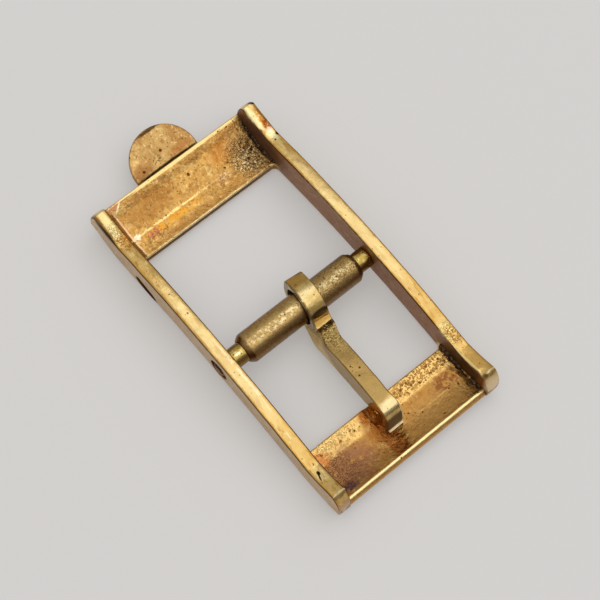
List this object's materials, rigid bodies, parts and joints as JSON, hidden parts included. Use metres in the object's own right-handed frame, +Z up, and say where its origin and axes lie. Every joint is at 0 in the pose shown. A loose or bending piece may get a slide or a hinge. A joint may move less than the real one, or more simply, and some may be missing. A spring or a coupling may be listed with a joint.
{
  "type": "watch buckle",
  "caption": "Slim gold-plated strap buckle: arched side rails, dished end plates, a round tab, a sprung strap bar and a pivoting tongue.",
  "frame": {"origin": "bottom centre of the whole buckle: midway between the rails and midway along it, tab included, level with the lowest edge of the tab", "axes": "+X across the strap towards the right rail, +Y along the buckle towards the round tab, +Z up from the front of the buckle to its back, where the strap lies"},
  "size_m": [0.0116, 0.0248, 0.0033],
  "materials": {
    "gold_plate": "polished gold plate, worn on the edges",
    "patina_gold": "gold plate with brown patina and fine pits",
    "dark_solder": "dark dull solder",
    "dull_brass": "dull brown brass, speckled with pits",
    "yellow_brass": "bright turned brass",
    "spring_steel": "drawn spring wire",
    "pale_brass": "satin brass with a few pits"
  },
  "bodies": {
    "frame": {"side_rail_left": "gold_plate", "side_rail_right": "gold_plate", "upper_plate": "patina_gold", "lower_plate": "patina_gold", "solder_seams": "dark_solder", "round_tab": "patina_gold", "tab_solder": "dark_solder"},
    "bar": {"bar_tube": "dull_brass", "bar_spring": "spring_steel"},
    "plunger_left": {"bar_plunger_left": "yellow_brass"},
    "plunger_right": {"bar_plunger_right": "yellow_brass"},
    "tongue": {"tongue": "pale_brass"}
  },
  "joints": [
    {"name": "plunger_left_press", "type": "slide", "parent": "frame", "child": "plunger_left", "axis": [1, 0, 0], "range_m": [0, 0.0008], "stiffness_N_per_m": 1000, "springref_m": -0.0015, "deforming": ["bar_spring"]},
    {"name": "plunger_right_press", "type": "slide", "parent": "frame", "child": "plunger_right", "axis": [-1, 0, 0], "range_m": [0, 0.0008], "stiffness_N_per_m": 1000, "springref_m": -0.0015, "deforming": ["bar_spring"]},
    {"name": "bar_spin", "type": "hinge", "parent": "frame", "child": "bar", "pos_m": [0, -0.00198, 0.00181], "axis": [1, 0, 0], "continuous": true},
    {"name": "tongue_swing", "type": "hinge", "parent": "frame", "child": "tongue", "pos_m": [0, -0.00198, 0.00181], "axis": [-1, 0, 0], "range_deg": [0, 178]}
  ]
}
